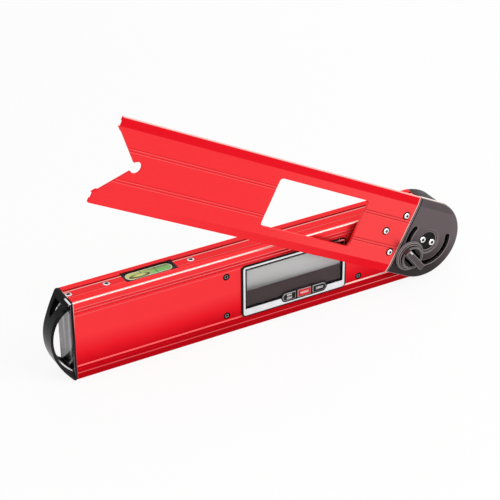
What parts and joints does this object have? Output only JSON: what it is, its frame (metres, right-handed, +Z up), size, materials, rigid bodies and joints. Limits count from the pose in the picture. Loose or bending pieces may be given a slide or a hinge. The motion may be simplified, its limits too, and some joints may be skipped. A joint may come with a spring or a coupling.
{
  "type": "digital angle finder",
  "caption": "Box-section rail with display and vial, and a flat arm that swings across its face on a friction pivot with a clamp knob.",
  "frame": {"origin": "middle of the rail's bottom measuring face", "axes": "+X along the rail towards the hinge, the display faces -Y, +Z up from the bottom face to the vial"},
  "size_m": [0.3722, 0.0443, 0.2175],
  "materials": {
    "red_body": "red anodised extrusion with a satin clear coat",
    "red_arm": "red anodised extrusion with a satin clear coat",
    "gloss_black": "glossy black moulding",
    "matte_black": "satin black moulding",
    "cover_grey": "fine-textured dark grey moulding",
    "end_grey": "fine-textured near-black moulding",
    "silver_trim": "silver-plated plastic",
    "steel": "zinc-plated steel",
    "black_steel": "blackened steel",
    "bronze": "sintered bronze",
    "brass": "turned brass",
    "spring_metal": "nickel-plated spring strip",
    "rivet_metal": "plain aluminium rivets",
    "lens": "clear window with a dark printed lower band",
    "lcd": "grey reflective liquid crystal panel",
    "rubber": "soft rubber",
    "circuit": "green circuit board laminate",
    "key_dark": "satin dark key",
    "key_red": "satin red key",
    "vial_clear": "clear acrylic",
    "spirit": "yellow-green spirit",
    "cell": "sleeved dry cell",
    "ribbon": "amber flexible circuit"
  },
  "bodies": {
    "rail": {"body_rail": "red_body", "hinge_end": "end_grey", "hang_loop_cap": "gloss_black", "top_screws": "black_steel", "front_screws": "black_steel", "hinge_end_screws": "black_steel", "pivot_bush": "bronze", "friction_washer": "matte_black", "rear_cover": "end_grey", "rear_cover_screws": "black_steel", "encoder_board": "circuit", "sensor_ribbon": "ribbon", "clamp_pad": "rubber", "clamp_bolt": "steel", "display_bezel": "matte_black", "display_trim": "silver_trim", "display_window": "lens", "lcd_panel": "lcd", "contact_strips": "rubber", "display_chassis": "matte_black", "main_board": "circuit", "key_domes": "rubber", "vial_holder": "matte_black", "vial_tube": "vial_clear", "vial_fluid": "spirit", "battery_tray": "matte_black", "battery_cell_upper": "cell", "battery_cell_lower": "cell", "battery_contacts": "spring_metal", "battery_door": "matte_black", "battery_door_screw": "black_steel"},
    "arm": {"arm_blade": "red_arm", "hinge_plate": "steel", "arm_rivets": "rivet_metal", "hinge_cover": "cover_grey", "pivot_hub": "steel", "pivot_retainer": "black_steel", "pivot_screws": "steel", "spring_washer": "spring_metal", "retaining_ring": "spring_metal", "encoder_rotor": "circuit"},
    "knob": {"clamp_knob": "matte_black", "knob_insert": "brass"},
    "button_left_key": {"button_left": "key_dark"},
    "button_middle_key": {"button_middle": "key_red"},
    "button_right_key": {"button_right": "key_dark"}
  },
  "joints": [
    {"name": "arm_pivot", "type": "hinge", "parent": "rail", "child": "arm", "pos_m": [0.1615, 0, 0.035], "axis": [0, 1, 0], "range_deg": [-72.5, 152.5]},
    {"name": "clamp_knob_turn", "type": "hinge", "parent": "rail", "child": "knob", "pos_m": [0.14279, 0, 0.02687], "axis": [0, -1, 0], "range_deg": [0, 270]},
    {"name": "button_left_press", "type": "slide", "parent": "rail", "child": "button_left_key", "axis": [0, 1, 0], "range_m": [0, 0.0008], "stiffness_N_per_m": 900},
    {"name": "button_middle_press", "type": "slide", "parent": "rail", "child": "button_middle_key", "axis": [0, 1, 0], "range_m": [0, 0.0008], "stiffness_N_per_m": 900},
    {"name": "button_right_press", "type": "slide", "parent": "rail", "child": "button_right_key", "axis": [0, 1, 0], "range_m": [0, 0.0008], "stiffness_N_per_m": 900}
  ]
}
